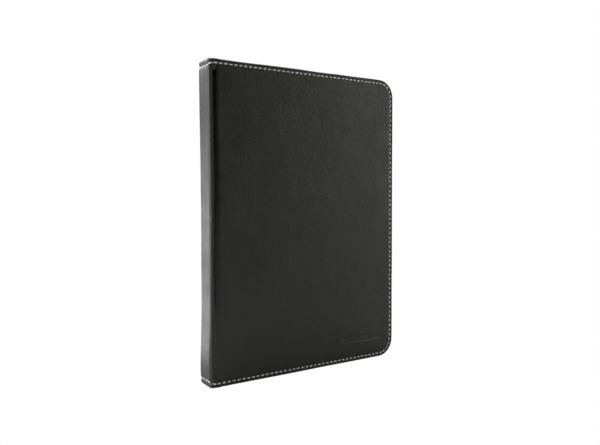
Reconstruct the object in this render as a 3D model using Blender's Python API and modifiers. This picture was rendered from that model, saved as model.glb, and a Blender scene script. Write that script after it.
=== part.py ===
"""A folio case for a small tablet, closed and standing upright on its bottom edge.

The frame: +Z is up, the spine's outer face is at -X, the fore-edge is at +X, the front cover's outer face is at -Y
and the back cover's at +Y. The origin is at the bottom, in the middle of the case. Two vertical hinges, one at each
edge of the spine, join the back cover, the spine and the front cover. The back cover carries the tablet pocket.
"""

import math

import bmesh
import bpy

MM = 0.001

# The closed case
WIDTH = 150 * MM
HEIGHT = 206 * MM
THICKNESS = 17 * MM
CORNER_RADIUS = 12.5 * MM

# The layers of a cover and of the spine, from the outside in
LEATHER = 1.0 * MM
BOARD = 1.6 * MM
LINING = 0.6 * MM
LAYER_GAP = 0.2 * MM
COVER = LEATHER + LAYER_GAP + BOARD + LAYER_GAP + LINING
EDGE_ROUND = 0.6 * MM

# The hinges: each axis lies inside the leather's fold, HINGE_INSET in from both outer faces
HINGE_INSET = 1.4 * MM
HINGE_LEATHER = 0.8 * MM
FOLD_RADIUS = 2.6 * MM
PANEL_FROM_SPINE = 7.0 * MM
SPINE_HALF = 4.4 * MM
SPINE_LINING_HALF = 3.6 * MM
GROOVE_FROM_SPINE = 4.6 * MM
GROOVE_HALF = 2.2 * MM
GROOVE_DEPTH = 1.2 * MM
HINGE_GAP = 0.2 * MM
HINGE_END_GAP = 0.4 * MM

# The gutter inside each hinge, where the lining lies close to the fold; depths to the lining's middle
GUTTER_DEPTH = 2.5 * MM
GUTTER_FOLD_DEPTH = 2.0 * MM
GUTTER_RADIUS = 0.8 * MM
GUTTER_WALL_GAP = 0.5 * MM

# The stitching: a thread that lies in a channel, flush with the leather
STITCH_INSET = 2.8 * MM
THREAD_RADIUS = 0.3 * MM
CHANNEL_HALF = 0.45 * MM
CHANNEL_DEPTH = 0.7 * MM
THREAD_SINK = 0.31 * MM
THREAD_END = 0.6 * MM

# The pocket on the back cover: strips around three sides, and a window frame over them
POCKET_EDGE = 2.0 * MM
STRIP_WIDTH = 4.0 * MM
STRIP_HEIGHT = 7.9 * MM
BEZEL_LEATHER = 1.0 * MM
BEZEL_BAR = 12.0 * MM
BEZEL_SPINE_BAR = 9.0 * MM
WINDOW_RADIUS = 3.0 * MM
POCKET_MOUTH_X = -66.0 * MM
STRIP_GAP = 0.3 * MM
PORT_GAP_HALF = 7.0 * MM
BEZEL_STITCH_INSET = 4.6 * MM

# The closure: a pair of bar magnets in the front board, and two steel keepers in the fore-edge strip
MAGNET = (2.8 * MM, 1.2 * MM, 15.0 * MM)
KEEPER = (1.8 * MM, 1.2 * MM, 15.0 * MM)
CLOSURE_GAP = 0.2 * MM
CLOSURE_FROM_MIDDLE = 60.0 * MM

ARC_STEPS = 10

SPINE_X = -WIDTH / 2
FORE_X = WIDTH / 2
PANEL_X = SPINE_X + PANEL_FROM_SPINE
HINGE_X = SPINE_X + HINGE_INSET
FACE_Y = THICKNESS / 2
HINGE_Y = FACE_Y - HINGE_INSET
FRONT = -1
BACK = 1
WELD = 1e-6
OVERCUT = 2 * MM


# Outlines, as lists of (x, z) points

def arc(centre, radius, start, end, steps=ARC_STEPS):
    """Points on an arc, angles in degrees."""
    angles = [math.radians(start + (end - start) * i / steps) for i in range(steps + 1)]
    return [(centre[0] + radius * math.cos(a), centre[1] + radius * math.sin(a)) for a in angles]


def edge_path(inset, x_start):
    """Along the top, round the two corners at the fore-edge and back along the bottom, inset from the cover's edge."""
    radius = CORNER_RADIUS - inset
    x = FORE_X - CORNER_RADIUS
    top = (x, HEIGHT - CORNER_RADIUS)
    bottom = (x, CORNER_RADIUS)
    return [
        (x_start, HEIGHT - inset),
        *arc(top, radius, 90, 0),
        *arc(bottom, radius, 0, -90),
        (x_start, inset),
    ]


def ribbon(outer_inset, inner_inset, x_start):
    """The band between two insets from the cover's edge, open on the spine side."""
    return edge_path(outer_inset, x_start) + edge_path(inner_inset, x_start)[::-1]


def rounded_rectangle(x_low, x_high, z_low, z_high, radius):
    return [
        *arc((x_low + radius, z_high - radius), radius, 180, 90),
        *arc((x_high - radius, z_high - radius), radius, 90, 0),
        *arc((x_high - radius, z_low + radius), radius, 0, -90),
        *arc((x_low + radius, z_low + radius), radius, -90, -180),
    ]


# Building blocks

def collection(name):
    made = bpy.data.collections.new(name)
    bpy.context.scene.collection.children.link(made)
    return made


def as_mesh(curve_object):
    """The curve as a closed mesh object with its caps welded on; the curve is removed."""
    graph = bpy.context.evaluated_depsgraph_get()
    mesh = bpy.data.meshes.new_from_object(curve_object.evaluated_get(graph))
    shape = bmesh.new()
    shape.from_mesh(mesh)
    bmesh.ops.remove_doubles(shape, verts=shape.verts, dist=WELD)
    bmesh.ops.recalc_face_normals(shape, faces=shape.faces)
    shape.to_mesh(mesh)
    shape.free()
    name = curve_object.name
    home = curve_object.users_collection[0]
    matrix = curve_object.matrix_world.copy()
    bpy.data.objects.remove(curve_object)
    made = bpy.data.objects.new(name, mesh)
    home.objects.link(made)
    made.matrix_world = matrix
    return made


def flat_curve(name, home, outlines, thickness):
    """A filled 2D curve through closed outlines; a second outline makes a hole."""
    data = bpy.data.curves.new(name, "CURVE")
    data.dimensions = "2D"
    data.fill_mode = "BOTH"
    data.extrude = thickness / 2
    for outline in outlines:
        spline = data.splines.new("POLY")
        spline.points.add(len(outline) - 1)
        spline.use_cyclic_u = True
        for point, (u, v) in zip(spline.points, outline):
            point.co = (u, v, 0, 1)
    made = bpy.data.objects.new(name, data)
    home.objects.link(made)
    return made


def plate(name, home, outlines, y_low, y_high):
    """A flat piece parallel to the covers, from outlines in X and Z."""
    made = flat_curve(name, home, outlines, y_high - y_low)
    made.location.y = (y_low + y_high) / 2
    made.rotation_euler.x = math.radians(90)
    bpy.context.view_layer.update()
    return as_mesh(made)


def column(name, home, outline, z_low, z_high):
    """An upright piece of constant section, from an outline in X and Y."""
    made = flat_curve(name, home, [outline], z_high - z_low)
    made.location.z = (z_low + z_high) / 2
    bpy.context.view_layer.update()
    return as_mesh(made)


def box(name, home, low, high):
    bpy.ops.mesh.primitive_cube_add(size=1)
    made = bpy.context.object
    made.name = name
    made.data.name = name
    made.scale = [b - a for a, b in zip(low, high)]
    made.location = [(a + b) / 2 for a, b in zip(low, high)]
    bpy.ops.object.transform_apply(location=True, rotation=False, scale=True)
    for old_home in list(made.users_collection):
        old_home.objects.unlink(made)
    home.objects.link(made)
    return made


def thread(name, home, points):
    """A thread along points, with closed ends."""
    data = bpy.data.curves.new(name, "CURVE")
    data.dimensions = "3D"
    data.bevel_depth = THREAD_RADIUS
    data.bevel_resolution = 2
    data.use_fill_caps = True
    spline = data.splines.new("POLY")
    spline.points.add(len(points) - 1)
    for point, place in zip(spline.points, points):
        point.co = (*place, 1)
    made = bpy.data.objects.new(name, data)
    home.objects.link(made)
    return made


def round_edges(piece, width):
    bevel = piece.modifiers.new("rounded edges", "BEVEL")
    bevel.width = width
    bevel.segments = 2
    bevel.limit_method = "ANGLE"
    bevel.angle_limit = math.radians(40)


def cut(piece, cutter):
    cutter.hide_render = True
    cutter.display_type = "WIRE"
    boolean = piece.modifiers.new("cut " + cutter.name, "BOOLEAN")
    boolean.operation = "DIFFERENCE"
    boolean.solver = "EXACT"
    boolean.object = cutter


def depths(side, outer, inner):
    """The low and high y of a layer, from its depths below the outer face on that side."""
    ys = side * (FACE_Y - outer), side * (FACE_Y - inner)
    return min(ys), max(ys)


def paint(material, *pieces):
    for piece in pieces:
        piece.data.materials.clear()
        piece.data.materials.append(material)


def carry(axis, *pieces):
    """Parents pieces to the empty on their hinge's axis, where they are."""
    for piece in pieces:
        piece.parent = axis
        piece.matrix_parent_inverse = axis.matrix_world.inverted()


# Materials

def material(name, colour, roughness, metallic=0.0):
    made = bpy.data.materials.new(name)
    made.use_nodes = True
    shader = made.node_tree.nodes["Principled BSDF"]
    shader.inputs["Base Color"].default_value = (*colour, 1)
    shader.inputs["Roughness"].default_value = roughness
    shader.inputs["Metallic"].default_value = metallic
    return made


def leather_material():
    return material("leather", (0.022, 0.021, 0.022), 0.5)


def thread_material():
    return material("thread", (0.55, 0.54, 0.52), 0.75)


def board_material():
    return material("board", (0.22, 0.21, 0.2), 0.9)


def lining_material():
    return material("lining", (0.045, 0.046, 0.05), 0.95)


def strip_material():
    return material("strip", (0.03, 0.03, 0.032), 0.8)


def steel_material():
    return material("steel", (0.6, 0.6, 0.62), 0.3, 1.0)


# The two covers

def cover_leather(name, side, parts, cutters):
    """A shallow tray: the outer face, and the edge turned in around the board and the lining."""
    outer_x = PANEL_X - OVERCUT
    outline = edge_path(0, outer_x)
    piece = plate(name, parts, [outline], *depths(side, 0, COVER))
    round_edges(piece, EDGE_ROUND)
    inside = edge_path(LEATHER, outer_x - OVERCUT)
    cut(piece, plate(name + "_cavity", cutters, [inside], *depths(side, LEATHER, COVER + OVERCUT)))
    end_low = (outer_x - OVERCUT, -THICKNESS, -OVERCUT)
    end_high = (PANEL_X, THICKNESS, HEIGHT + OVERCUT)
    cut(piece, box(name + "_end", cutters, end_low, end_high))
    groove = ribbon(STITCH_INSET - CHANNEL_HALF, STITCH_INSET + CHANNEL_HALF, PANEL_X - OVERCUT)
    cut(piece, plate(name + "_channel", cutters, [groove], *depths(side, -OVERCUT, CHANNEL_DEPTH)))
    return piece


def cover_board(name, side, parts):
    inset = LEATHER + LAYER_GAP
    outline = edge_path(inset, PANEL_X + LAYER_GAP)
    return plate(name, parts, [outline], *depths(side, inset, inset + BOARD))


def cover_lining(name, side, parts):
    inset = LEATHER + LAYER_GAP
    outline = edge_path(inset, PANEL_X)
    return plate(name, parts, [outline], *depths(side, COVER - LINING, COVER))


def cover_thread(name, side, parts):
    y = side * (FACE_Y - THREAD_SINK)
    path = edge_path(STITCH_INSET, PANEL_X + THREAD_END)
    return thread(name, parts, [(x, y, z) for x, z in path])


# The spine

def spine_leather(parts, cutters):
    """A shallow channel: the outer face, and the leather turned in at the top and the bottom."""
    low = (SPINE_X, -SPINE_HALF - OVERCUT, 0)
    high = (SPINE_X + COVER, SPINE_HALF + OVERCUT, HEIGHT)
    piece = box("spine_leather", parts, low, high)
    round_edges(piece, EDGE_ROUND)
    for side, name in ((FRONT, "front"), (BACK, "back")):
        ys = sorted((side * SPINE_HALF, side * (SPINE_HALF + 2 * OVERCUT)))
        low = (SPINE_X - OVERCUT, ys[0], -OVERCUT)
        high = (SPINE_X + 2 * COVER, ys[1], HEIGHT + OVERCUT)
        cut(piece, box("spine_end_" + name, cutters, low, high))
    low = (SPINE_X + LEATHER, -FACE_Y, LEATHER)
    high = (SPINE_X + 2 * COVER, FACE_Y, HEIGHT - LEATHER)
    cut(piece, box("spine_cavity", cutters, low, high))
    for name, z in spine_stitch_rows():
        low = (SPINE_X - OVERCUT, -FACE_Y, z - CHANNEL_HALF)
        high = (SPINE_X + CHANNEL_DEPTH, FACE_Y, z + CHANNEL_HALF)
        cut(piece, box("spine_channel_" + name, cutters, low, high))
    return piece


def spine_stitch_rows():
    return ("top", HEIGHT - STITCH_INSET), ("bottom", STITCH_INSET)


def spine_board(parts):
    inset = LEATHER + LAYER_GAP
    low = (SPINE_X + inset, -SPINE_HALF, inset)
    high = (SPINE_X + inset + BOARD, SPINE_HALF, HEIGHT - inset)
    return box("spine_board", parts, low, high)


def spine_lining(parts):
    inset = LEATHER + LAYER_GAP
    low = (SPINE_X + COVER - LINING, -SPINE_LINING_HALF, inset)
    high = (SPINE_X + COVER, SPINE_LINING_HALF, HEIGHT - inset)
    return box("spine_lining", parts, low, high)


def spine_threads(parts):
    x = SPINE_X + THREAD_SINK
    end = SPINE_HALF - THREAD_END
    return [
        thread("spine_thread_" + name, parts, [(x, -end, z), (x, 0, z), (x, end, z)])
        for name, z in spine_stitch_rows()
    ]


# The flexible strips along the two hinges

def offset(path, distance):
    """The path moved sideways by a distance, to its left, with its corners kept sharp."""
    steps = []
    for (x_a, y_a), (x_b, y_b) in zip(path, path[1:]):
        length = math.hypot(x_b - x_a, y_b - y_a)
        steps.append(((y_a - y_b) / length, (x_b - x_a) / length))
    moved = []
    for (x, y), before, after in zip(path, steps[:1] + steps, steps + steps[-1:]):
        shared = distance / (1 + before[0] * after[0] + before[1] * after[1])
        moved.append((x + (before[0] + after[0]) * shared, y + (before[1] + after[1]) * shared))
    return moved


def strip_outline(path, thickness, side):
    """The section of a strip about its middle line, which is drawn for the front and mirrored for the back."""
    outline = offset(path, thickness / 2) + offset(path, -thickness / 2)[::-1]
    return [(x, -side * y) for x, y in outline]


def hinge_leather(name, side, parts):
    """From the spine, round the fold and through the pressed groove to the cover."""
    depth = HINGE_LEATHER / 2
    start = (SPINE_X + depth, -SPINE_HALF - HINGE_GAP)
    centre = (SPINE_X + FOLD_RADIUS, -FACE_Y + FOLD_RADIUS)
    fold = arc(centre, FOLD_RADIUS - depth, 180, 270)
    first = fold[-1][0]
    last = PANEL_X - HINGE_GAP
    groove_x = SPINE_X + GROOVE_FROM_SPINE
    steps = 2 * ARC_STEPS
    groove = []
    for i in range(1, steps + 1):
        x = first + (last - first) * i / steps
        across = min(abs(x - groove_x) / GROOVE_HALF, 1)
        dip = GROOVE_DEPTH * (1 + math.cos(math.pi * across)) / 2
        groove.append((x, -FACE_Y + depth + dip))
    outline = strip_outline([start, *fold, *groove], HINGE_LEATHER, side)
    return column(name, parts, outline, HINGE_END_GAP, HEIGHT - HINGE_END_GAP)


def hinge_lining(name, side, parts):
    """The lining inside the fold. It dips into the gutter between the spine's board and the cover's."""
    spine_level = SPINE_X + COVER - LINING / 2
    cover_level = -FACE_Y + COVER
    gutter_y = -FACE_Y + GUTTER_DEPTH
    gutter_x = SPINE_X + GUTTER_FOLD_DEPTH
    spine_wall = -SPINE_HALF - GUTTER_WALL_GAP
    centre = (gutter_x + GUTTER_RADIUS, gutter_y + GUTTER_RADIUS)
    cover_wall = PANEL_X - GUTTER_WALL_GAP
    path = [
        (spine_level, -SPINE_LINING_HALF - HINGE_GAP),
        (spine_level, spine_wall),
        *arc(centre, GUTTER_RADIUS, 180, 270, ARC_STEPS // 2),
        (cover_wall, gutter_y),
        (cover_wall, cover_level),
    ]
    outline = strip_outline(path, LINING, side)
    inset = LEATHER + LAYER_GAP
    return column(name, parts, outline, inset, HEIGHT - inset)


# The tablet pocket

def pocket_levels():
    """The y of the strips' base on the back lining, and of their top."""
    base = FACE_Y - COVER - LAYER_GAP
    return base, base - STRIP_HEIGHT


def pocket_strips(parts):
    """Four strips around the tablet; the two at the bottom leave a gap for the charging plug."""
    base, top = pocket_levels()
    corner_x = FORE_X - CORNER_RADIUS
    straight_end = corner_x - STRIP_GAP
    inner = POCKET_EDGE + STRIP_WIDTH
    fore = plate("pocket_strip_fore_edge", parts, [ribbon(POCKET_EDGE, inner, corner_x)], top, base)
    runs = {
        "pocket_strip_top": (POCKET_MOUTH_X, straight_end, HEIGHT - inner),
        "pocket_strip_bottom_a": (POCKET_MOUTH_X, -PORT_GAP_HALF, POCKET_EDGE),
        "pocket_strip_bottom_b": (PORT_GAP_HALF, straight_end, POCKET_EDGE),
    }
    straight = [
        box(name, parts, (x_low, top, z), (x_high, base, z + STRIP_WIDTH))
        for name, (x_low, x_high, z) in runs.items()
    ]
    return [fore, *straight]


def bezel_levels():
    top = pocket_levels()[1] - LAYER_GAP
    return top - BEZEL_LEATHER, top


def pocket_bezel(parts, cutters):
    """The leather window frame over the strips, open towards the spine."""
    outline = edge_path(POCKET_EDGE, POCKET_MOUTH_X)
    window = rounded_rectangle(
        POCKET_MOUTH_X + BEZEL_SPINE_BAR,
        FORE_X - POCKET_EDGE - BEZEL_BAR,
        POCKET_EDGE + BEZEL_BAR,
        HEIGHT - POCKET_EDGE - BEZEL_BAR,
        WINDOW_RADIUS,
    )
    low, high = bezel_levels()
    piece = plate("pocket_bezel", parts, [outline, window], low, high)
    inset = BEZEL_STITCH_INSET
    groove = ribbon(inset - CHANNEL_HALF, inset + CHANNEL_HALF, POCKET_MOUTH_X - OVERCUT)
    cut(piece, plate("bezel_channel", cutters, [groove], low - OVERCUT, low + CHANNEL_DEPTH))
    return piece


def bezel_thread(parts):
    y = bezel_levels()[0] + THREAD_SINK
    path = edge_path(BEZEL_STITCH_INSET, POCKET_MOUTH_X + THREAD_END)
    return thread("bezel_thread", parts, [(x, y, z) for x, z in path])


# The closure

def closure_places():
    middle = HEIGHT / 2
    return ("upper", middle + CLOSURE_FROM_MIDDLE), ("lower", middle - CLOSURE_FROM_MIDDLE)


def closure_x():
    return FORE_X - POCKET_EDGE - STRIP_WIDTH / 2


def block(name, home, centre, size, grow=0.0):
    low = [c - s / 2 - grow for c, s in zip(centre, size)]
    high = [c + s / 2 + grow for c, s in zip(centre, size)]
    return box(name, home, low, high)


def magnets(board, parts, cutters):
    """Two bar magnets, each in a slot right through the front board."""
    y = -FACE_Y + LEATHER + LAYER_GAP + BOARD / 2
    made = []
    for name, z in closure_places():
        centre = (closure_x(), y, z)
        slot = (MAGNET[0], BOARD + OVERCUT, MAGNET[2])
        cut(board, block("magnet_slot_" + name, cutters, centre, slot, CLOSURE_GAP))
        made.append(block("magnet_" + name, parts, centre, MAGNET))
    return made


def keepers(strip, parts, cutters):
    """Two steel keepers, each in a slot in the fore-edge strip's top, under the bezel."""
    top = pocket_levels()[1]
    y = top + LAYER_GAP / 2 + KEEPER[1] / 2
    made = []
    for name, z in closure_places():
        centre = (closure_x(), y, z)
        slot_centre = (closure_x(), y - OVERCUT / 2, z)
        slot = (KEEPER[0], KEEPER[1] + OVERCUT, KEEPER[2])
        cut(strip, block("keeper_slot_" + name, cutters, slot_centre, slot, CLOSURE_GAP))
        made.append(block("keeper_" + name, parts, centre, KEEPER))
    return made


# The hinge axes

def axis(name, home, side):
    made = bpy.data.objects.new(name, None)
    made.empty_display_type = "SINGLE_ARROW"
    made.empty_display_size = HEIGHT
    made.location = (HINGE_X, side * HINGE_Y, 0)
    home.objects.link(made)
    return made


def main():
    for old in list(bpy.data.objects):
        bpy.data.objects.remove(old, do_unlink=True)
    parts = collection("tablet_folio_case")
    cutters = collection("cutters")

    leather = leather_material()
    stitching = thread_material()
    board = board_material()
    lining = lining_material()
    strip = strip_material()
    steel = steel_material()

    front = [
        cover_leather("front_leather", FRONT, parts, cutters),
        cover_board("front_board", FRONT, parts),
        cover_lining("front_lining", FRONT, parts),
        cover_thread("front_thread", FRONT, parts),
        hinge_leather("front_hinge_leather", FRONT, parts),
        hinge_lining("front_hinge_lining", FRONT, parts),
    ]
    front_magnets = magnets(front[1], parts, cutters)
    spine = [spine_leather(parts, cutters), spine_board(parts), spine_lining(parts)]
    spine_stitches = spine_threads(parts)
    back = [
        cover_leather("back_leather", BACK, parts, cutters),
        cover_board("back_board", BACK, parts),
        cover_lining("back_lining", BACK, parts),
        cover_thread("back_thread", BACK, parts),
        hinge_leather("back_hinge_leather", BACK, parts),
        hinge_lining("back_hinge_lining", BACK, parts),
    ]
    strips = pocket_strips(parts)
    bezel = pocket_bezel(parts, cutters)
    bezel_stitches = bezel_thread(parts)
    steel_keepers = keepers(strips[0], parts, cutters)

    paint(leather, front[0], front[4], spine[0], back[0], back[4], bezel)
    paint(board, front[1], spine[1], back[1])
    paint(lining, front[2], front[5], spine[2], back[2], back[5])
    paint(stitching, front[3], back[3], bezel_stitches, *spine_stitches)
    paint(strip, *strips)
    paint(steel, *front_magnets, *steel_keepers)

    spine_axis = axis("spine_hinge_axis", parts, BACK)
    front_axis = axis("front_hinge_axis", parts, FRONT)
    bpy.context.view_layer.update()
    carry(spine_axis, *spine, *spine_stitches, front_axis)
    bpy.context.view_layer.update()
    carry(front_axis, *front, *front_magnets)


main()
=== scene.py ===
"""The looks of a folio case for a small tablet.

Stitched leather covers turn on a flat spine, and a lined window pocket is sewn to the back cover.
Everything is in metres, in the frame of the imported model: +Z up, the spine's outer face at -X,
the fore-edge at +X, the front cover at -Y and the back cover at +Y.
"""

import math

import bmesh
import bpy
import numpy as np
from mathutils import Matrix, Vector


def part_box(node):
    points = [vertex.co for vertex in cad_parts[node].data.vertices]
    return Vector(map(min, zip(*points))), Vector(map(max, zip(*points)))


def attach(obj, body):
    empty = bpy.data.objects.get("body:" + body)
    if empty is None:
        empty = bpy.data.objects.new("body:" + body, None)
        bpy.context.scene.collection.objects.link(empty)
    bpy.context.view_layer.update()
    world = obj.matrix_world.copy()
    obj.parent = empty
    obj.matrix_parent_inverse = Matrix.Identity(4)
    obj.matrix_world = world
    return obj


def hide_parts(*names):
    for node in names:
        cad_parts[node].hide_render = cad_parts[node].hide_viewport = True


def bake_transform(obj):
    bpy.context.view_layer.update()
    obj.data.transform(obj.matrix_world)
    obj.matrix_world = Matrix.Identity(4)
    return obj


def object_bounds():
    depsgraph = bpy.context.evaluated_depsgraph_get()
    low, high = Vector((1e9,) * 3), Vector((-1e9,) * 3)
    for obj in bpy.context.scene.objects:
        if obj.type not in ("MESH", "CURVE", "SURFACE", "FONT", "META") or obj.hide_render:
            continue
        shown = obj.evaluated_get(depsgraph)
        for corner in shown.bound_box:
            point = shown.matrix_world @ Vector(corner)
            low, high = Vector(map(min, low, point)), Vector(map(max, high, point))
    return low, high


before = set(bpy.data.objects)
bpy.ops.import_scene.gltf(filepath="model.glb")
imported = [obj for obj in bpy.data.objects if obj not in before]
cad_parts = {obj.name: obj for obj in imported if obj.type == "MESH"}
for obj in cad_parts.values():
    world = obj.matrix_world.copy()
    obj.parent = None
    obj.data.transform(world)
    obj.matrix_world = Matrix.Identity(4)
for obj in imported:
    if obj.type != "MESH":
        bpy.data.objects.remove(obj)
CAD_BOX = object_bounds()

MM = 0.001

# The case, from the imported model
SPINE_X = CAD_BOX[0].x
FORE_X = CAD_BOX[1].x
FACE_Y = CAD_BOX[1].y
HEIGHT = CAD_BOX[1].z
PANEL_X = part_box("front_leather")[0].x
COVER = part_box("front_leather")[1].y + FACE_Y
FRONT = -1
BACK = 1

# The outer leather
CORNER_RADIUS = 12.5 * MM
FOLD_RADIUS = 2.6 * MM
LEATHER = 1.0 * MM
HINGE_THICKNESS = 2.0 * MM
EDGE_DEPTH = 1.25 * MM
FOLD_DIP = {FRONT: 0.35 * MM, BACK: 1.3 * MM}
GROOVE_X = SPINE_X + 4.1 * MM
GROOVE_LEFT = 2.4 * MM
GROOVE_RIGHT = 2.5 * MM
GROOVE_DEPTH = 1.75 * MM
SPINE_RUN = FACE_Y - FOLD_RADIUS
FOLD_RUN = FOLD_RADIUS * math.pi / 2
SHEET_WIDTH = SPINE_RUN + FOLD_RUN + FORE_X - SPINE_X - FOLD_RADIUS

# The stitches: a whole number of them fits the row that runs round three sides from the middle of the spine
STITCH_INSET = 2.8 * MM
STITCH_COUNT = 143
STITCH_SHARE = 0.74
THREAD_RADIUS = 0.44 * MM
ROW_ARC = (CORNER_RADIUS - STITCH_INSET) * math.pi / 2
ROW_LENGTH = 2 * (SHEET_WIDTH - CORNER_RADIUS + ROW_ARC) + HEIGHT - 2 * CORNER_RADIUS
PITCH = ROW_LENGTH / STITCH_COUNT

# The plain pressed plate near the lower fore-edge corner of the front cover
PLATE_CENTRE = (46.0 * MM, 16.6 * MM)
PLATE_SIZE = (36.0 * MM, 5.0 * MM)
PLATE_RADIUS = 2.5 * MM
PLATE_DEPTH = 0.3 * MM

# The leather's face: how wide and deep the row of stitches presses it, and how uneven it is
SEAM_WIDTH = 0.8 * MM
SEAM_DIP = 0.2
HOLE_DIP = 0.24
RIM_FALL = 0.2 * MM
RIM_FALL_REACH = 3.2 * MM
RIM_BULGE = 0.07 * MM
SLOW_WAVE = 0.055 * MM
QUICK_WAVE = 0.02 * MM
FACE_INSETS = np.array([
    1.3, 1.6, 1.95, 2.25, 2.55, 2.8, 3.05, 3.35, 3.7, 4.1, 4.7, 5.5, 6.5, 7.8, 9.2, 10.8,
]) * MM

# The lining
LINING = 0.6 * MM
LINING_INSET = 1.3 * MM
GUTTER_FLOOR = 2.8 * MM
LINING_FACE_INSETS = np.array([0.5, 0.9, 1.4, 1.9, 2.3, 2.6, 2.9, 3.3, 3.9, 5.0, 7.0, 9.2]) * MM

# The pocket's window frame and its foam walls
FRAME_INSET = 1.4 * MM
FRAME_SEAM = 3.2 * MM
FRAME_LEATHER = 1.0 * MM
FRAME_BAR_SPINE = 9.0 * MM
FRAME_BAR = 12.0 * MM
FRAME_SPINE_RADIUS = 1.5 * MM
WINDOW_RADIUS = 3 * MM
FRAME_POINTS = (210, 140, 210, 140)
FRAME_FACE_INSETS = np.array([1.1, 1.6, 2.1, 2.5, 2.85, 3.2, 3.55, 3.9, 4.4, 5.2]) * MM
PORT_HALF = 7 * MM
WALL_ROUNDING = 0.6 * MM

# Two zones on the diagonal of the fold, handed to bend()
FOLD_ZONE = 1.5 * MM
LINING_ZONE = (-0.25 * MM, 0.55 * MM)

CORNER_STEPS = 12


# Small functions on arrays

def ramp(x, start, end):
    """0 before start, 1 after end, and smooth between them."""
    t = np.clip((np.asarray(x, float) - start) / (end - start), 0, 1)
    return t * t * (3 - 2 * t)


def bell(x, centre, width):
    return np.exp(-(((x - centre) / width) ** 2))


def ripple(a, b, wavelength, seed, waves=9):
    """Gentle unevenness over a plane, about -1 to 1."""
    rng = np.random.default_rng(seed)
    total = np.zeros(np.broadcast(a, b).shape)
    for _ in range(waves):
        turn, phase = rng.uniform(0, 2 * math.pi, 2)
        step = 2 * math.pi / (wavelength * rng.uniform(0.7, 1.6))
        total += np.sin((a * math.cos(turn) + b * math.sin(turn)) * step + phase)
    return total / math.sqrt(waves)


# The sections that the sheets follow, seen from above, for the front; a back piece mirrors them

def outer_section(u):
    """x, y and the outward normal at a distance u round the outside from the middle of the spine."""
    u = np.asarray(u, float)
    turn = np.clip((u - SPINE_RUN) / FOLD_RUN, 0, 1) * math.pi / 2
    before = np.minimum(u, SPINE_RUN)
    after = np.maximum(u - SPINE_RUN - FOLD_RUN, 0)
    x = SPINE_X + FOLD_RADIUS * (1 - np.cos(turn)) + after
    y = -before - FOLD_RADIUS * np.sin(turn)
    return x, y, -np.cos(turn), -np.sin(turn)


def rounded_path(points, rounds=3):
    """A polyline with its corners cut again and again, until they are round."""
    path = np.array(points, float)
    for _ in range(rounds):
        before = path[:-1] * 0.75 + path[1:] * 0.25
        after = path[:-1] * 0.25 + path[1:] * 0.75
        middle = np.stack([before, after], axis=1).reshape(-1, 2)
        path = np.vstack([path[:1], middle, path[-1:]])
    return path


def path_section(path):
    """The same as outer_section, for any polyline; the normal is on its left."""
    steps = np.hypot(*np.diff(path, axis=0).T)
    length = np.concatenate([[0], np.cumsum(steps)])
    tangent = np.gradient(path, length, axis=0)
    tangent /= np.hypot(*tangent.T)[:, None]

    def section(u):
        columns = [path[:, 0], path[:, 1], -tangent[:, 1], tangent[:, 0]]
        x, y, nx, ny = (np.interp(u, length, column) for column in columns)
        size = np.hypot(nx, ny)
        return x, y, nx / size, ny / size

    return section, length


# Sheets with two round corners at the fore-edge

class Outline:
    """A sheet's outline, unrolled: u from the middle of the spine, v from the bottom."""

    def __init__(self, width, height, radius, us, vs):
        self.width = width
        self.height = height
        self.radius = radius
        self.us = np.asarray(us)
        self.vs = np.asarray(vs)
        self.turns = np.radians(np.linspace(90, 0, CORNER_STEPS + 1))[1:-1]

    def ring(self, inset):
        """(u, v) along the top, round the fore-edge and back below, at an inset that may vary."""
        size = 2 * len(self.us) + len(self.vs) + 2 * len(self.turns)
        inset = np.broadcast_to(inset, size)
        cuts = np.cumsum([len(self.us), len(self.turns), len(self.vs), len(self.turns)])
        top, upper, side, lower, bottom = np.split(inset, cuts)
        centre = self.width - self.radius
        u = [
            self.us,
            centre + (self.radius - upper) * np.cos(self.turns),
            self.width - side,
            centre + (self.radius - lower) * np.cos(self.turns[::-1]),
            self.us[::-1],
        ]
        v = [
            self.height - top,
            self.height - self.radius + (self.radius - upper) * np.sin(self.turns),
            self.vs[::-1],
            self.radius - (self.radius - lower) * np.sin(self.turns[::-1]),
            bottom,
        ]
        return np.concatenate(u), np.concatenate(v)

    def row(self, inset):
        """The distance along a row of stitches at an inset, for each point of a ring."""
        u, v = self.ring(inset)
        return np.concatenate([[0], np.cumsum(np.hypot(np.diff(u), np.diff(v)))])

    def place(self, along, inset):
        """(u, v) and the direction (du, dv), at distances along a row of stitches."""
        u, v = self.ring(inset)
        length = self.row(inset)
        ahead = np.clip(along + 0.2 * MM, 0, length[-1])
        behind = np.clip(along - 0.2 * MM, 0, length[-1])
        du = np.interp(ahead, length, u) - np.interp(behind, length, u)
        dv = np.interp(ahead, length, v) - np.interp(behind, length, v)
        size = np.hypot(du, dv)
        return np.interp(along, length, u), np.interp(along, length, v), du / size, dv / size


def mesh_object(name, points, faces):
    mesh = bpy.data.meshes.new(name)
    mesh.from_pydata(np.asarray(points).tolist(), [], faces)
    shape = bmesh.new()
    shape.from_mesh(mesh)
    bmesh.ops.recalc_face_normals(shape, faces=shape.faces)
    shape.to_mesh(mesh)
    shape.free()
    mesh.shade_smooth()
    made = bpy.data.objects.new(name, mesh)
    bpy.context.scene.collection.objects.link(made)
    return made


def crease(piece, corners):
    """Keeps the shading of the face inside a loop of corners apart from its neighbours'."""
    shape = bmesh.new()
    shape.from_mesh(piece.data)
    for edge in shape.edges:
        if edge.verts[0].index in corners and edge.verts[1].index in corners:
            edge.smooth = False
    shape.to_mesh(piece.data)
    shape.free()


def paint_points(piece, name, values):
    """A number on each point, for the material to read."""
    attribute = piece.data.attributes.new(name, "FLOAT", "POINT")
    attribute.data.foreach_set("value", np.asarray(values, np.float32))


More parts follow.
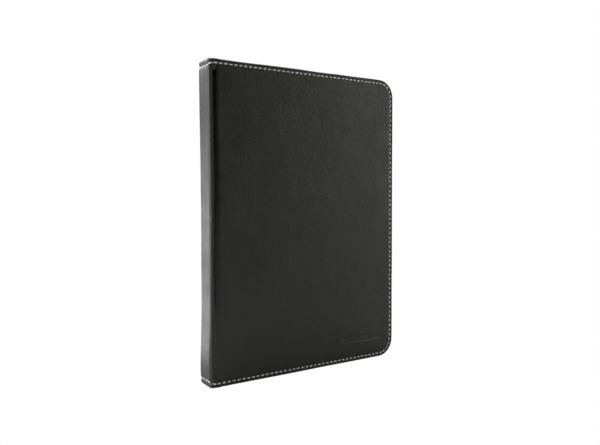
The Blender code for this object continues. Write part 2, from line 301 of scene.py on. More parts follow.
def sheet(name, outline, section, side, z_low, rings, lift, surface_insets):
    """A closed sheet.

    rings(u) gives rows of (inset, depth) from its back edge round to its face, for each ring point.
    lift(u, v, inset, along) is how far the face stands out of the section.
    """
    along = outline.row(STITCH_INSET)
    ring_u = outline.ring(0)[0]
    rows = list(rings(ring_u))
    face_start = len(rows)
    rows += [(inset, 0.0) for inset in surface_insets]
    points = []
    edge = []
    flat = []
    for k, (inset, depth) in enumerate(rows):
        u, v = outline.ring(inset)
        share = 1.0 if k >= face_start else np.clip(1 - depth / COVER, 0, 1)
        raised = lift(u, v, np.broadcast_to(inset, u.shape), along) * share
        x, y, nx, ny = section(u)
        out = raised - depth
        points.append(np.stack([x + nx * out, -side * (y + ny * out), z_low + v], axis=1))
        edge.append(np.broadcast_to(inset, u.shape))
        flat.append(np.stack([u, v], axis=1))
    count = len(ring_u)
    u, v = np.meshgrid(outline.us, outline.vs, indexing="ij")
    inset = np.minimum(np.minimum(v, outline.height - v), outline.width - u)
    x, y, nx, ny = section(u)
    out = lift(u, v, inset, np.zeros_like(u))
    grid = np.stack([x + nx * out, -side * (y + ny * out), z_low + v], axis=-1)
    points.append(grid.reshape(-1, 3))
    edge.append(inset.reshape(-1))
    flat.append(np.stack([u, v], axis=-1).reshape(-1, 2))

    tall = len(outline.vs)
    wide = len(outline.us)
    first = len(rows) * count
    cell = first + np.arange(wide * tall).reshape(wide, tall)
    corners = len(outline.turns)
    join = np.concatenate([
        cell[:, -1],
        np.full(corners, cell[-1, -1]),
        cell[-1, ::-1],
        np.full(corners, cell[-1, 0]),
        cell[::-1, 0],
    ])
    loops = [np.arange(k * count, (k + 1) * count) for k in range(len(rows))] + [join]
    faces = []
    for a, b in zip(loops, loops[1:]):
        faces += [
            tuple(dict.fromkeys(face))
            for face in zip(a[:-1].tolist(), a[1:].tolist(), b[1:].tolist(), b[:-1].tolist())
        ]
    quads = np.stack([cell[:-1, :-1], cell[1:, :-1], cell[1:, 1:], cell[:-1, 1:]], axis=-1)
    faces += quads.reshape(-1, 4).tolist()
    last = count - 1
    faces += [(i, i + 1, last - i - 1, last - i) for i in range(wide - 1)]
    faces.append(tuple(range(wide - 1, last - wide + 2)))
    ends = [k * count for k in range(len(rows))]
    cap = cell[0, :].tolist() + ends[::-1] + [end + last for end in ends]
    faces.append(tuple(cap))
    made = mesh_object(name, np.vstack(points), faces)
    crease(made, set(cap))
    paint_points(made, "edge_mm", np.concatenate(edge) / MM)
    return made, np.vstack(flat)


# The outer leather

def outer_thickness(u):
    """The cover's thickness: full over the spine and the cover, thin in the hinge."""
    flat = SPINE_RUN + FOLD_RUN
    panel = flat + PANEL_X - SPINE_X - FOLD_RADIUS
    thin = ramp(u, SPINE_RUN - 1.4 * MM, SPINE_RUN) - ramp(u, panel - 0.9 * MM, panel + 0.3 * MM)
    return COVER - (COVER - HINGE_THICKNESS) * thin


def groove(u, v):
    """The pressed groove beside the spine: it wanders, fades out near the foot, and ends in two dimples."""
    x = outer_section(u)[0]
    left_high = 0.5 * MM * ramp(v, 130 * MM, 190 * MM)
    left_low = 0.4 * MM * (1 - ramp(v, 30 * MM, 90 * MM))
    centre = GROOVE_X - left_high - left_low
    across = (x - centre) / np.where(x < centre, GROOVE_LEFT, GROOVE_RIGHT)
    valley = (1.012 - np.sqrt(np.clip(np.abs(across), 0, 1) ** 2 + 0.012)) / 0.9
    end = np.minimum(v, HEIGHT - v)
    depth = GROOVE_DEPTH * (0.22 + 0.78 * ramp(v, 14 * MM, 74 * MM)) * ramp(end, 3.6 * MM, 7.0 * MM)
    depth += 1.1 * MM * bell(v, 6.2 * MM, 1.7 * MM) + 0.3 * MM * bell(v, HEIGHT - 6.6 * MM, 2.0 * MM)
    return depth * np.clip(valley, 0, 1) ** 1.2 * (u > SPINE_RUN)


def spine_bow(u, v):
    """The spine is a little hollow over its height, and swells at the foot."""
    bow = 1.0 * MM * bell(v, 11 * MM, 22 * MM) - 0.42 * MM * bell(v, 122 * MM, 56 * MM)
    return bow * (1 - ramp(u, SPINE_RUN + 0.45 * FOLD_RUN, SPINE_RUN + 1.1 * FOLD_RUN))


def pressed_plate(u, v):
    """A blank plate with round ends, pressed into the leather."""
    x = FORE_X - (SHEET_WIDTH - u)
    dx = np.maximum(np.abs(x - PLATE_CENTRE[0]) - PLATE_SIZE[0] / 2 + PLATE_RADIUS, 0)
    dz = np.maximum(np.abs(v - PLATE_CENTRE[1]) - PLATE_SIZE[1] / 2 + PLATE_RADIUS, 0)
    outside = np.hypot(dx, dz) - PLATE_RADIUS
    return PLATE_DEPTH * (1 - ramp(outside, -0.55 * MM, 0.35 * MM))


def leather_lift(seed, plate):
    """How far the leather's face stands out of the flat section."""

    def lift(u, v, inset, along):
        seam = bell(inset, seam_inset(u), SEAM_WIDTH)
        hole = ((1 + np.cos(2 * math.pi * along / PITCH)) / 2) ** 2
        inner = ramp(inset, 2 * MM, 14 * MM)
        out = -seam * (SEAM_DIP + HOLE_DIP * hole) * MM
        out -= RIM_FALL * np.exp(-np.maximum(inset - STITCH_INSET, 0) / RIM_FALL_REACH)
        out += RIM_BULGE * bell(inset, 1.3 * MM, 0.7 * MM)
        out += SLOW_WAVE * ripple(u, v, 42 * MM, seed) * inner * ramp(u, 2 * MM, 12 * MM)
        out += QUICK_WAVE * ripple(u, v, 13 * MM, seed + 1) * ramp(u, 0, 4 * MM)
        out += spine_bow(u, v) - groove(u, v)
        if plate:
            out -= pressed_plate(u, v)
        return out

    return lift


def leather_rings(fold_dip):
    """From the leather's back, round the turned edge, to the rim of its face; it dips in at the fold."""

    def rings(u):
        thick = outer_thickness(u)
        wave = 0.12 * MM * ripple(u, np.arange(len(u)) * 0.9 * MM, 60 * MM, 7) * ramp(u, 0, 6 * MM)
        wave = wave + fold_dip * bell(u, SPINE_RUN + 0.55 * FOLD_RUN, 2.4 * MM)
        yield 3.4 * MM, np.minimum(LEATHER + groove(u, HEIGHT / 2), HINGE_THICKNESS + 0.15 * MM)
        yield 2.4 * MM, thick - 0.35 * MM
        yield 1.8 * MM, thick - 0.1 * MM
        for turn in np.radians(np.linspace(180, 12, 9)):
            inset = EDGE_DEPTH * (1 - math.sin(turn) ** 0.8) + wave * math.sin(turn)
            yield inset, thick / 2 * (1 - math.cos(turn))

    return rings


def leather_steps(plate):
    """Where the sheet has its vertices: finest at the fold, and in step with the stitches."""
    corner = SHEET_WIDTH - CORNER_RADIUS
    near = 17 * MM
    fine = np.arange(0, near, PITCH / 12)
    us = np.concatenate([fine, np.arange(fine[-1] + PITCH / 4, corner - PITCH / 8, PITCH / 4), [corner]])
    rows = round((HEIGHT - 2 * CORNER_RADIUS) / (PITCH / 4))
    vs = np.linspace(CORNER_RADIUS, HEIGHT - CORNER_RADIUS, rows + 1)
    if plate:
        across = PLATE_CENTRE[0] - FORE_X + SHEET_WIDTH
        half = PLATE_SIZE[0] / 2
        for end in (across - half, across + half):
            us = refine(us, end - 3 * MM, end + 3 * MM)
        half = PLATE_SIZE[1] / 2
        vs = refine(vs, PLATE_CENTRE[1] - half - 1 * MM, PLATE_CENTRE[1] + half + 1 * MM)
    return us, vs


def refine(values, low, high):
    """The same steps, halved between low and high."""
    middles = (values[:-1] + values[1:]) / 2
    return np.sort(np.concatenate([values, middles[(middles > low) & (middles < high)]]))


def outer_leather(name, side, seed, plate):
    us, vs = leather_steps(plate)
    outline = Outline(SHEET_WIDTH, HEIGHT, CORNER_RADIUS, us, vs)
    lift = leather_lift(seed, plate)
    rings = leather_rings(FOLD_DIP[side])
    made, flat = sheet(name, outline, outer_section, side, 0.0, rings, lift, FACE_INSETS)
    # The groove's depth, 0 to 1, which the leather material turns into painted shade in the groove.
    paint_points(made, "groove_shade", groove(*flat.T) / GROOVE_DEPTH)
    return made, outline, lift


# Stitches

def seam_inset(u):
    """How far in from the edge the stitches run: a little more across the spine than round the cover."""
    round_cover = ramp(u, SPINE_RUN - 1.5 * MM, SPINE_RUN + 1.3 * FOLD_RUN)
    return STITCH_INSET + 1.4 * MM * (1 - round_cover)


def stitches(name, centre, forward, out, length, seed):
    """Short lengths of two-ply thread, each with its ends pulled down into the leather."""
    rng = np.random.default_rng(seed)
    count = len(centre)
    forward = forward / np.linalg.norm(forward, axis=1)[:, None]
    across = np.cross(out, forward)
    skew = rng.normal(0, 0.035, count)[:, None]
    forward = forward * np.cos(skew) + across * np.sin(skew)
    across = np.cross(out, forward)
    reach = length * (1 + rng.normal(0, 0.03, count))
    high = rng.normal(0, 0.02 * MM, count)
    twist = rng.uniform(0, math.pi, count)
    along = np.linspace(-1, 1, 13)
    around = np.linspace(0, 2 * math.pi, 12, endpoint=False)
    t = along[None, :, None]
    angle = around[None, None, :]
    ply = np.cos(2 * angle - twist[:, None, None] - t * 3.4)
    radius = THREAD_RADIUS * (1 + 0.16 * ply) * (1 - 0.3 * np.abs(t) ** 5)
    sink = 0.08 * MM + high[:, None, None] - 0.62 * MM * np.abs(t) ** 3.5
    side = radius * np.cos(angle)
    up = radius * np.sin(angle) * 0.9 + sink
    ahead = t * reach[:, None, None] / 2 + 0 * angle
    points = (
        centre[:, None, None, :]
        + forward[:, None, None, :] * ahead[..., None]
        + across[:, None, None, :] * side[..., None]
        + out[:, None, None, :] * up[..., None]
    )
    faces = []
    rows, columns = len(along), len(around)
    each = np.arange(rows * columns).reshape(rows, columns)
    turned = np.roll(each, -1, axis=1)
    tube = np.stack([each[:-1], turned[:-1], turned[1:], each[1:]], axis=-1).reshape(-1, 4)
    for i in range(count):
        start = i * rows * columns
        faces += (tube + start).tolist()
        faces.append((each[0][::-1] + start).tolist())
        faces.append((each[-1] + start).tolist())
    return mesh_object(name, points.reshape(-1, 3), faces)


def outer_stitches(name, side, outline, lift, seed):
    along = (np.arange(STITCH_COUNT) + 0.5) * PITCH
    u, v, du, dv = outline.place(along, seam_inset(outline.ring(0)[0]))
    inset = seam_inset(u)
    x, y, nx, ny = outer_section(u)
    raised = lift(u, v, inset, along)
    centre = np.stack([x + nx * raised, -side * (y + ny * raised), v], axis=1)
    forward = np.stack([-ny * du, side * -nx * du, dv], axis=1)
    out = np.stack([nx, -side * ny, 0 * nx], axis=1)
    return stitches(name, centre, forward, out, PITCH * STITCH_SHARE, seed)


# The lining

def lining_path():
    """From the middle of the spine's inside, through the gutter in the hinge, to the cover's fore-edge."""
    inner_x = SPINE_X + COVER
    inner_y = -FACE_Y + COVER
    floor = -FACE_Y + GUTTER_FLOOR
    end = FORE_X - LINING_INSET
    bend = [
        (inner_x, -FACE_Y + 5.4 * MM),
        (inner_x, -FACE_Y + 3.9 * MM),
        (inner_x - 0.7 * MM, -FACE_Y + 3.1 * MM),
        (inner_x - 0.1 * MM, floor),
        (inner_x + 0.9 * MM, floor),
        (PANEL_X - 1.0 * MM, floor),
        (PANEL_X - 0.5 * MM, inner_y),
        (PANEL_X + 1.0 * MM, inner_y),
    ]
    rounded = rounded_path(bend)
    start = np.linspace((inner_x, 0), bend[0], 8)[:-1]
    flat = np.linspace(bend[-1], (end, inner_y), 120)[1:]
    return np.vstack([start, rounded, flat])


def lining_rings(u):
    for turn in np.radians(np.linspace(180, 30, 5)):
        yield 0.3 * MM * (1 - math.sin(turn)) + 0 * u, LINING / 2 * (1 - math.cos(turn)) + 0 * u


def lining(name, side, seed):
    section, length = path_section(lining_path())
    width = length[-1]
    radius = CORNER_RADIUS - LINING_INSET
    bend_end = 14 * MM
    dense = length[length < bend_end]
    us = np.concatenate([
        [0],
        np.linspace(dense[1], dense[-1], 120),
        np.linspace(dense[-1], width - radius, 64)[1:],
    ])
    high = HEIGHT - 2 * LINING_INSET
    vs = np.linspace(radius, high - radius, 90)
    outline = Outline(width, high, radius, us, vs)

    def lift(u, v, inset, along):
        out = 0.03 * MM * ripple(u, v, 30 * MM, seed)
        out -= 0.12 * MM * bell(inset, 2.6 * MM, 0.7 * MM)
        return out * ramp(u, 9 * MM, 14 * MM)

    made = sheet(name, outline, section, side, LINING_INSET, lining_rings, lift, LINING_FACE_INSETS)[0]
    return made, (width, high)


# The pocket's window frame

def frame_outline(low, high, radii, counts):
    """A rounded rectangle in x and z, from the spine's bottom corner, with counts of points on its sides."""
    (x0, z0), (x1, z1) = low, high
    corners = [(x0, z0, 180), (x0, z1, 90), (x1, z1, 0), (x1, z0, -90)]
    inward = [(1, 1), (1, -1), (-1, -1), (-1, 1)]
    arcs = []
    for (x, z, start), (sx, sz), radius in zip(corners, inward, radii):
        turn = np.radians(np.linspace(start + 90, start, CORNER_STEPS + 1))
        arcs.append(np.stack([
            x + sx * radius + radius * np.cos(turn),
            z + sz * radius + radius * np.sin(turn),
        ], axis=1))
    runs = []
    for i, count in enumerate(counts):
        run = np.linspace(arcs[i][-1], arcs[(i + 1) % 4][0], count + 1)[1:-1]
        runs += [arcs[i], run]
    return np.vstack(runs)


def frame_loops(low, high):
    """The frame's lowest corner, and loops at a distance in from its outside or out from its window."""
    grow = low.z - FRAME_INSET
    outer_low = np.array([low.x, low.z - grow])
    outer_high = np.array([high.x + grow, high.z + grow])
    bars_low = np.array([FRAME_BAR_SPINE, FRAME_BAR + grow])
    bars_high = np.array([FRAME_BAR + grow, FRAME_BAR + grow])
    fore_radius = CORNER_RADIUS - FRAME_INSET
    outer_radii = (FRAME_SPINE_RADIUS, FRAME_SPINE_RADIUS, fore_radius, fore_radius)

    def from_outside(d):
        radii = [max(radius - d, 0.2 * MM) for radius in outer_radii]
        return frame_outline(outer_low + d, outer_high - d, radii, FRAME_POINTS)

    def from_window(e):
        radii = [WINDOW_RADIUS + e] * 4
        return frame_outline(outer_low + bars_low - e, outer_high - bars_high + e, radii, FRAME_POINTS)

    return outer_low, from_outside, from_window


def frame_skirt(edge, corner, drop):
    """How deep the outer side goes: down to the cover, but not at the pocket's mouth or the plug's gap."""
    mouth = ramp(edge[:, 0], corner[0] + 1.0 * MM, corner[0] + 1.8 * MM)
    port = 1 - (np.abs(edge[:, 0]) < PORT_HALF) * (edge[:, 1] < corner[1] + 1 * MM)
    return FRAME_LEATHER + (drop - FRAME_LEATHER) * mouth * port


def frame_face(from_outside, corner, along):
    """The loops with their depths across the face, dipping at the stitches."""
    sewn = ramp(from_outside(FRAME_SEAM)[:, 0], corner[0] + 3.4 * MM, corner[0] + 4.0 * MM)
    pucker = (1 + np.cos(2 * math.pi * along / PITCH)) / 2
    for d in FRAME_FACE_INSETS:
        yield from_outside(d), bell(d, FRAME_SEAM, 0.7 * MM) * (0.16 + 0.14 * pucker) * MM * sewn


def frame_rows(corner, from_outside, from_window, skirt, along):
    """Loops with their depths: up the outer side, over the face, round the window's edge, and back."""
    edge = from_outside(0)
    level = 0 * skirt
    for depth in np.linspace(1, 0.12, 7):
        yield edge, skirt * depth + 0.6 * MM * (1 - depth)
    for turn in np.radians((70, 50, 30, 10)):
        yield from_outside(0.7 * MM * (1 - math.sin(turn))), 0.6 * MM * (1 - math.cos(turn)) + level
    yield from frame_face(from_outside, corner, along)
    for e in np.array([3.0, 1.8, 1.0, 0.5]) * MM:
        yield from_window(e), 0.05 * MM + level
    for turn in np.radians((30, 60, 90, 120, 150, 180)):
        yield from_window(0.45 * MM * (1 - math.sin(turn))), 0.5 * MM * (1 - math.cos(turn)) + level
    yield from_outside(0.55 * MM), FRAME_LEATHER + level
    yield from_outside(0.55 * MM), np.maximum(skirt, FRAME_LEATHER + 0.05 * MM)


def pocket_frame(parts_box, wall_base):
    """The window frame: leather over the strips, down their outer sides, and turned in round the window."""
    low, high = parts_box
    face = low.y
    corner, from_outside, from_window = frame_loops(low, high)
    seam = from_outside(FRAME_SEAM)
    along = np.concatenate([[0], np.cumsum(np.hypot(*np.diff(seam, axis=0).T))])
    skirt = frame_skirt(from_outside(0), corner, wall_base - face)
    rows = list(frame_rows(corner, from_outside, from_window, skirt, along))
    points = [np.stack([ring[:, 0], face + depth, ring[:, 1]], axis=1) for ring, depth in rows]
    count = len(seam)
    faces = []
    for k in range(len(rows)):
        a = np.arange(count) + k * count
        b = np.arange(count) + (k + 1) % len(rows) * count
        faces += np.stack([a, np.roll(a, -1), np.roll(b, -1), b], axis=-1).tolist()
    made = mesh_object("pocket_frame", np.vstack(points), faces)
    return made, seam, along, face


def frame_stitches(seam, along, face):
    """A row round the top, the fore-edge and the bottom; the spine side is the pocket's mouth."""
    count = int(along[-1] / PITCH)
    places = (np.arange(count) + 0.5) * PITCH
    x = np.interp(places, along, seam[:, 0])
    z = np.interp(places, along, seam[:, 1])
    dx = np.interp(places + 0.2 * MM, along, seam[:, 0]) - x
    dz = np.interp(places + 0.2 * MM, along, seam[:, 1]) - z
    kept = x > seam[:, 0].min() + 2 * MM
    centre = np.stack([x, np.full(count, face + 0.22 * MM), z], axis=1)[kept]
    forward = np.stack([dx, 0 * dx, dz], axis=1)[kept]
    out = np.tile([0.0, -1.0, 0.0], (len(centre), 1))
    return stitches("pocket_frame_stitches", centre, forward, out, PITCH * STITCH_SHARE, 31)


def pocket_wall(node):
    """A foam strip of the pocket, with its edges pressed round."""
    piece = bpy.data.objects.new(node.replace("strip", "wall"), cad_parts[node].data.copy())
    bpy.context.scene.collection.objects.link(piece)
    shape = bmesh.new()
    shape.from_mesh(piece.data)
    bmesh.ops.remove_doubles(shape, verts=shape.verts, dist=0.01 * MM)
    bmesh.ops.dissolve_limit(shape, angle_limit=math.radians(1), verts=shape.verts, edges=shape.edges)
    sharp = [edge for edge in shape.edges if edge.calc_face_angle(0) > math.radians(40)]
    bmesh.ops.bevel(shape, geom=sharp, offset=WALL_ROUNDING, segments=4, profile=0.5, affect="EDGES")
    bmesh.ops.recalc_face_normals(shape, faces=shape.faces)
    shape.to_mesh(piece.data)
    shape.free()
    piece.data.shade_smooth()
    return piece


# Materials

class Nodes:
    """A material's node tree, with short ways to add to it."""

    def __init__(self, name):
        self.material = bpy.data.materials.new(name)
        self.material.use_nodes = True
        self.tree = self.material.node_tree
        self.shader = self.tree.nodes["Principled BSDF"]

    def add(self, kind, **settings):
        node = self.tree.nodes.new("ShaderNode" + kind)
        for key, value in settings.items():
            setattr(node, key, value)
        return node

    def link(self, source, target):
        self.tree.links.new(source, target)

    def place(self):
        return self.add("TexCoord").outputs["Object"]

    def noise(self, place, scale, detail=2.0, roughness=0.5):
        node = self.add("TexNoise")
        node.inputs["Scale"].default_value = scale
        node.inputs["Detail"].default_value = detail
        node.inputs["Roughness"].default_value = roughness
        self.link(place, node.inputs["Vector"])
        return node.outputs["Fac"]

    def cells(self, place, scale, feature="F1", smooth=0.0):
        node = self.add("TexVoronoi", feature=feature)
        node.inputs["Scale"].default_value = scale
        if feature == "SMOOTH_F1":
            node.inputs["Smoothness"].default_value = smooth
        self.link(place, node.inputs["Vector"])
        return node.outputs["Distance"]

    def spread(self, value, low, high, to_low, to_high):
        node = self.add("MapRange", interpolation_type="SMOOTHSTEP")
        for key, number in (("From Min", low), ("From Max", high), ("To Min", to_low), ("To Max", to_high)):
            node.inputs[key].default_value = number
        self.link(value, node.inputs["Value"])
        return node.outputs["Result"]

    def maths(self, operation, a, b):
        node = self.add("Math", operation=operation)
        for socket, value in zip(node.inputs, (a, b)):
            if isinstance(value, (int, float)):
                socket.default_value = value
            else:
                self.link(value, socket)
        return node.outputs["Value"]

    def mix(self, factor, a, b):
        """Between two colours by a factor."""
        node = self.add("Mix", data_type="RGBA")
        self.link(factor, node.inputs["Factor"])
        for socket, value in ((node.inputs["A"], a), (node.inputs["B"], b)):
            if isinstance(value, tuple):
                socket.default_value = (*value, 1)
            else:
                self.link(value, socket)
        return node.outputs["Result"]

    def bump(self, height, distance, strength=1.0):
        node = self.add("Bump")
        node.inputs["Distance"].default_value = distance
        node.inputs["Strength"].default_value = strength
        self.link(height, node.inputs["Height"])
        self.link(node.outputs["Normal"], self.shader.inputs["Normal"])

    def set(self, **values):
        for key, value in values.items():
            socket = self.shader.inputs[key.replace("_", " ")]
            if isinstance(value, (int, float)):
                socket.default_value = value
            elif isinstance(value, tuple):
                socket.default_value = (*value, 1)
            else:
                self.link(value, socket)


def leather_material():
    """Black coated leather: a fine pebble grain, coarser along the edges, and a faint mottling; painted
    shade darkens the groove beside the spine.
    """
    nodes = Nodes("black_leather")
    place = nodes.place()
    edge = nodes.add("Attribute", attribute_name="edge_mm").outputs["Fac"]
    rim = nodes.spread(edge, 1.0, 8.0, 1.0, 0.0)
    fine = nodes.cells(place, 1500.0, "SMOOTH_F1", 0.4)
    coarse = nodes.cells(place, 820.0, "SMOOTH_F1", 0.5)
    pores = nodes.noise(place, 2600.0, 3.0, 0.6)
    crease = nodes.noise(place, 330.0, 5.0, 0.62)
    height = nodes.maths("MULTIPLY", fine, 0.45)
    height = nodes.maths("ADD", height, nodes.maths("MULTIPLY", pores, 0.28))
    height = nodes.maths("ADD", height, nodes.maths("MULTIPLY", crease, 0.9))
    rim_grain = nodes.maths("MULTIPLY", nodes.maths("MULTIPLY", coarse, rim), 0.9)
    height = nodes.maths("ADD", height, rim_grain)
    nodes.bump(height, 0.0003, 0.5)
    cloud = nodes.noise(place, 28.0, 4.0, 0.6)
    mottle = nodes.spread(cloud, 0.3, 0.7, 0.0, 1.0)
    tint = nodes.mix(mottle, (0.0048, 0.0049, 0.0040), (0.0092, 0.0093, 0.0078))
    edge_wear_and_groove_shade = nodes.mix(nodes.spread(edge, 0.0, 1.4, 0.55, 0.0), tint, (0.018, 0.0175, 0.0175))
    # Painted shade: the base colour goes near black where the groove beside the spine is deep, and the
    # roughness drops there.
    groove_shade_input = nodes.add("Attribute", attribute_name="groove_shade").outputs["Fac"]
    groove_shade = nodes.spread(groove_shade_input, 0.1, 0.8, 0.0, 1.0)
    edge_wear_and_groove_shade = nodes.mix(groove_shade, edge_wear_and_groove_shade, (0.0012, 0.0012, 0.0012))
    rough = nodes.spread(nodes.noise(place, 60.0, 5.0, 0.6), 0.3, 0.7, 0.36, 0.47)
    rough = nodes.maths("SUBTRACT", rough, nodes.maths("MULTIPLY", groove_shade, 0.16))
    nodes.set(Base_Color=edge_wear_and_groove_shade, Roughness=rough, IOR=1.5)
    return nodes.material


def thread_material():
    """Light grey twisted polyester."""
    nodes = Nodes("light_thread")
    place = nodes.place()
    tone = nodes.spread(nodes.noise(place, 900.0, 3.0, 0.6), 0.3, 0.7, 0.0, 1.0)
    colour = nodes.mix(tone, (0.56, 0.545, 0.53), (0.82, 0.80, 0.785))
    nodes.bump(nodes.noise(place, 5200.0, 2.0, 0.5), 0.00006, 0.5)
    nodes.set(Base_Color=colour, Roughness=0.62, Sheen_Weight=0.25)
    return nodes.material


def lining_material():
    """Charcoal microfibre with a short brushed nap."""
    nodes = Nodes("charcoal_microfibre")
    place = nodes.place()
    nap = nodes.noise(place, 3800.0, 4.0, 0.65)
    brushed = nodes.noise(place, 90.0, 5.0, 0.6)
    tone = nodes.maths("ADD", nodes.maths("MULTIPLY", nap, 0.75), nodes.maths("MULTIPLY", brushed, 0.25))
    colour = nodes.mix(nodes.spread(tone, 0.3, 0.7, 0.0, 1.0), (0.024, 0.025, 0.028), (0.056, 0.057, 0.061))
    nodes.bump(nap, 0.00022, 0.6)
    nodes.set(Base_Color=colour, Roughness=0.95, Sheen_Weight=0.35, Sheen_Roughness=0.4)
    return nodes.material


def strip_material():
    """Firm black foam with a closed-cell skin."""
    nodes = Nodes("black_foam")
    place = nodes.place()
    cell = nodes.cells(place, 2400.0)
    tone = nodes.mix(nodes.spread(cell, 0.1, 0.7, 0.0, 1.0), (0.020, 0.020, 0.021), (0.034, 0.034, 0.036))
    nodes.bump(cell, 0.00012, 0.5)
    nodes.set(Base_Color=tone, Roughness=0.85)
    return nodes.material


def board_material():
    """Grey binder's board with short fibres."""
    nodes = Nodes("grey_board")
    place = nodes.place()
    fibre = nodes.noise(place, 1400.0, 6.0, 0.7)
    tone = nodes.mix(nodes.spread(fibre, 0.3, 0.7, 0.0, 1.0), (0.17, 0.165, 0.155), (0.27, 0.262, 0.25))
    nodes.bump(fibre, 0.0001, 0.5)
    nodes.set(Base_Color=tone, Roughness=0.92)
    return nodes.material


def steel_material():
    """Nickel-plated steel with a brushed finish."""
    nodes = Nodes("plated_steel")
    place = nodes.place()
    scratch = nodes.noise(place, 2600.0, 2.0, 0.5)
    nodes.bump(scratch, 0.00003, 0.4)
    rough = nodes.spread(scratch, 0.3, 0.7, 0.25, 0.4)
    nodes.set(Base_Color=(0.62, 0.62, 0.63), Metallic=1.0, Roughness=rough)
    return nodes.material


def floor_material():
    """White where it is seen, and a dimmer grey in what the case reflects."""
    nodes = Nodes("pale_floor")
    glow = nodes.add("Emission")
    mix = nodes.add("MixShader")
    output = nodes.tree.nodes["Material Output"]
    nodes.link(nodes.add("LightPath").outputs["Is Camera Ray"], mix.inputs["Fac"])
    nodes.link(nodes.shader.outputs["BSDF"], mix.inputs[1])
    nodes.link(glow.outputs["Emission"], mix.inputs[2])
    nodes.link(mix.outputs["Shader"], output.inputs["Surface"])
    nodes.set(Base_Color=(0.6, 0.6, 0.6), Roughness=1.0)
    return nodes.material


def paint(material, *objects):
    for piece in objects:
        piece.data.materials.clear()
        piece.data.materials.append(material)


# The studio

def soft_light(name, place, target, size, power, colour=(1, 1, 1)):
    data = bpy.data.lights.new(name, "AREA")
    data.color = colour
    data.shape = "RECTANGLE"
    data.size = size[0]
    data.size_y = size[1]
    data.energy = power
    made = bpy.data.objects.new(name, data)
    made.location = place
    made.rotation_euler = (Vector(target) - Vector(place)).to_track_quat("-Z", "Y").to_euler()
    bpy.context.scene.collection.objects.link(made)
    return made


def surroundings():
    """White behind the case, and a dim room in what it reflects."""
    world = bpy.data.worlds.new("studio")
    bpy.context.scene.world = world
    world.use_nodes = True
    tree = world.node_tree
    room = tree.nodes["Background"]
    room.inputs["Strength"].default_value = 0.02
    white = tree.nodes.new("ShaderNodeBackground")
    white.inputs["Color"].default_value = (1, 1, 1, 1)
    room.inputs["Color"].default_value = (1, 1, 1, 1)
    mix = tree.nodes.new("ShaderNodeMixShader")
    rays = tree.nodes.new("ShaderNodeLightPath")
    tree.links.new(rays.outputs["Is Camera Ray"], mix.inputs["Fac"])
    tree.links.new(room.outputs["Background"], mix.inputs[1])
    tree.links.new(white.outputs["Background"], mix.inputs[2])
    tree.links.new(mix.outputs["Shader"], tree.nodes["World Output"].inputs["Surface"])


def studio():
    bpy.context.scene.view_settings.view_transform = "Standard"
    surroundings()
    middle = (0, 0, HEIGHT / 2)
    soft_light("top_light", (-0.03, 0.10, 1.25), middle, (0.8, 0.8), 12)
    soft_light("spine_light_high", (-0.40, 0.80, 0.82), middle, (0.95, 0.85), 12.5)
    soft_light("spine_light_low", (-0.45, 0.90, 0.12), middle, (0.5, 0.22), 1.3)
    soft_light("low_light", (-0.24, 0.34, 0.002), (-0.24, 0.34, 1), (0.40, 0.56), 1.35)
    soft_light("left_light", (-1.0, 0.15, 0.30), middle, (0.4, 0.4), 6.5)
    soft_light("right_light", (0.88, -0.50, 0.42), middle, (0.9, 0.8), 3.9, (1.0, 1.0, 0.9))
    bpy.ops.mesh.primitive_plane_add(size=8, location=(0, 0, -0.0002))
    floor = bpy.context.object
    floor.name = "floor"
    paint(floor_material(), floor)


def camera():
    """A 36 mm lens from the front and the left, a little above the middle of the case."""
    data = bpy.data.cameras.new("camera")
    data.lens = 36
    data.sensor_width = 36
    data.clip_start = 0.01
    made = bpy.data.objects.new("camera", data)
    made.location = (-0.2312, -0.3492, 0.1224)
    heading, dip = math.radians(33.15), math.radians(2.75)
    roll = math.radians(0.19)
    made.rotation_euler = (math.pi / 2 - dip, roll, -heading)
    bpy.context.scene.collection.objects.link(made)
    bpy.context.scene.camera = made
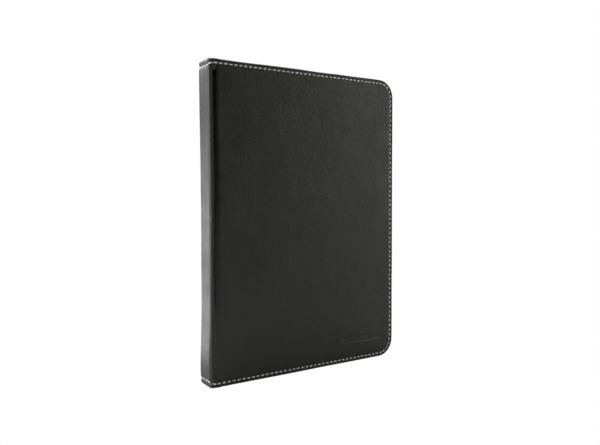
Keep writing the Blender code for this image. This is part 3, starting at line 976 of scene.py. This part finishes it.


# The pieces, and the imported solids that each stands for; only the pocket's pieces go on a body

STANDS_FOR = {
    FRONT: {
        "leather": ("front_leather", "front_hinge_leather", "spine_leather"),
        "lining": ("front_lining", "front_hinge_lining", "spine_lining"),
        "stitching": ("front_thread", "spine_thread_top"),
    },
    BACK: {
        "leather": ("back_leather", "back_hinge_leather"),
        "lining": ("back_lining", "back_hinge_lining"),
        "stitching": ("back_thread", "spine_thread_bottom"),
    },
}


def bend(piece, side, before, after):
    """Bakes a piece's transform into its mesh, the same on either side; before and after are not used."""
    if side == FRONT:
        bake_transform(piece)
    else:
        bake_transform(piece)


def covers(leather, thread, microfibre):
    """A skin, a row of stitches and a lining for each cover, from the middle of the spine over a fold."""
    for side, name, seed in ((FRONT, "front", 3), (BACK, "back", 11)):
        skin, outline, lift = outer_leather(name + "_cover_skin", side, seed, side == FRONT)
        row = outer_stitches(name + "_cover_stitches", side, outline, lift, seed + 2)
        inside, cut = lining(name + "_cover_lining", side, seed + 4)
        paint(leather, skin)
        paint(thread, row)
        paint(microfibre, inside)
        bend(skin, side, -FOLD_ZONE, FOLD_ZONE)
        bend(row, side, -FOLD_ZONE, FOLD_ZONE)
        bend(inside, side, *LINING_ZONE)
        for piece, slot in ((skin, "leather"), (inside, "lining"), (row, "stitching")):
            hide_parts(*STANDS_FOR[side][slot])


def pocket(leather, thread):
    """The window frame, its stitches and the foam walls under it, on the back cover."""
    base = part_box("pocket_strip_top")[1].y
    window, seam, along, face = pocket_frame(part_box("pocket_bezel"), base)
    window_row = frame_stitches(seam, along, face)
    paint(leather, window)
    paint(thread, window_row)
    for piece, slot, node in (
        (window, "leather", "pocket_bezel"),
        (window_row, "stitching", "bezel_thread"),
    ):
        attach(piece, "back_cover")
        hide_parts(node)

    foam = strip_material()
    for node in sorted(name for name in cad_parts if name.startswith("pocket_strip")):
        wall = pocket_wall(node)
        paint(foam, wall)
        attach(wall, "back_cover")
        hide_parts(node)


def hidden_parts():
    """The boards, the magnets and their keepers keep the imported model's shapes."""
    board = board_material()
    steel = steel_material()
    finishes = {"board": board, "magnet": steel, "keeper": steel}
    for name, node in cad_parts.items():
        for key, finish in finishes.items():
            if key in name:
                paint(finish, node)


def main():
    camera()
    studio()
    leather = leather_material()
    thread = thread_material()
    covers(leather, thread, lining_material())
    pocket(leather, thread)
    hidden_parts()


main()
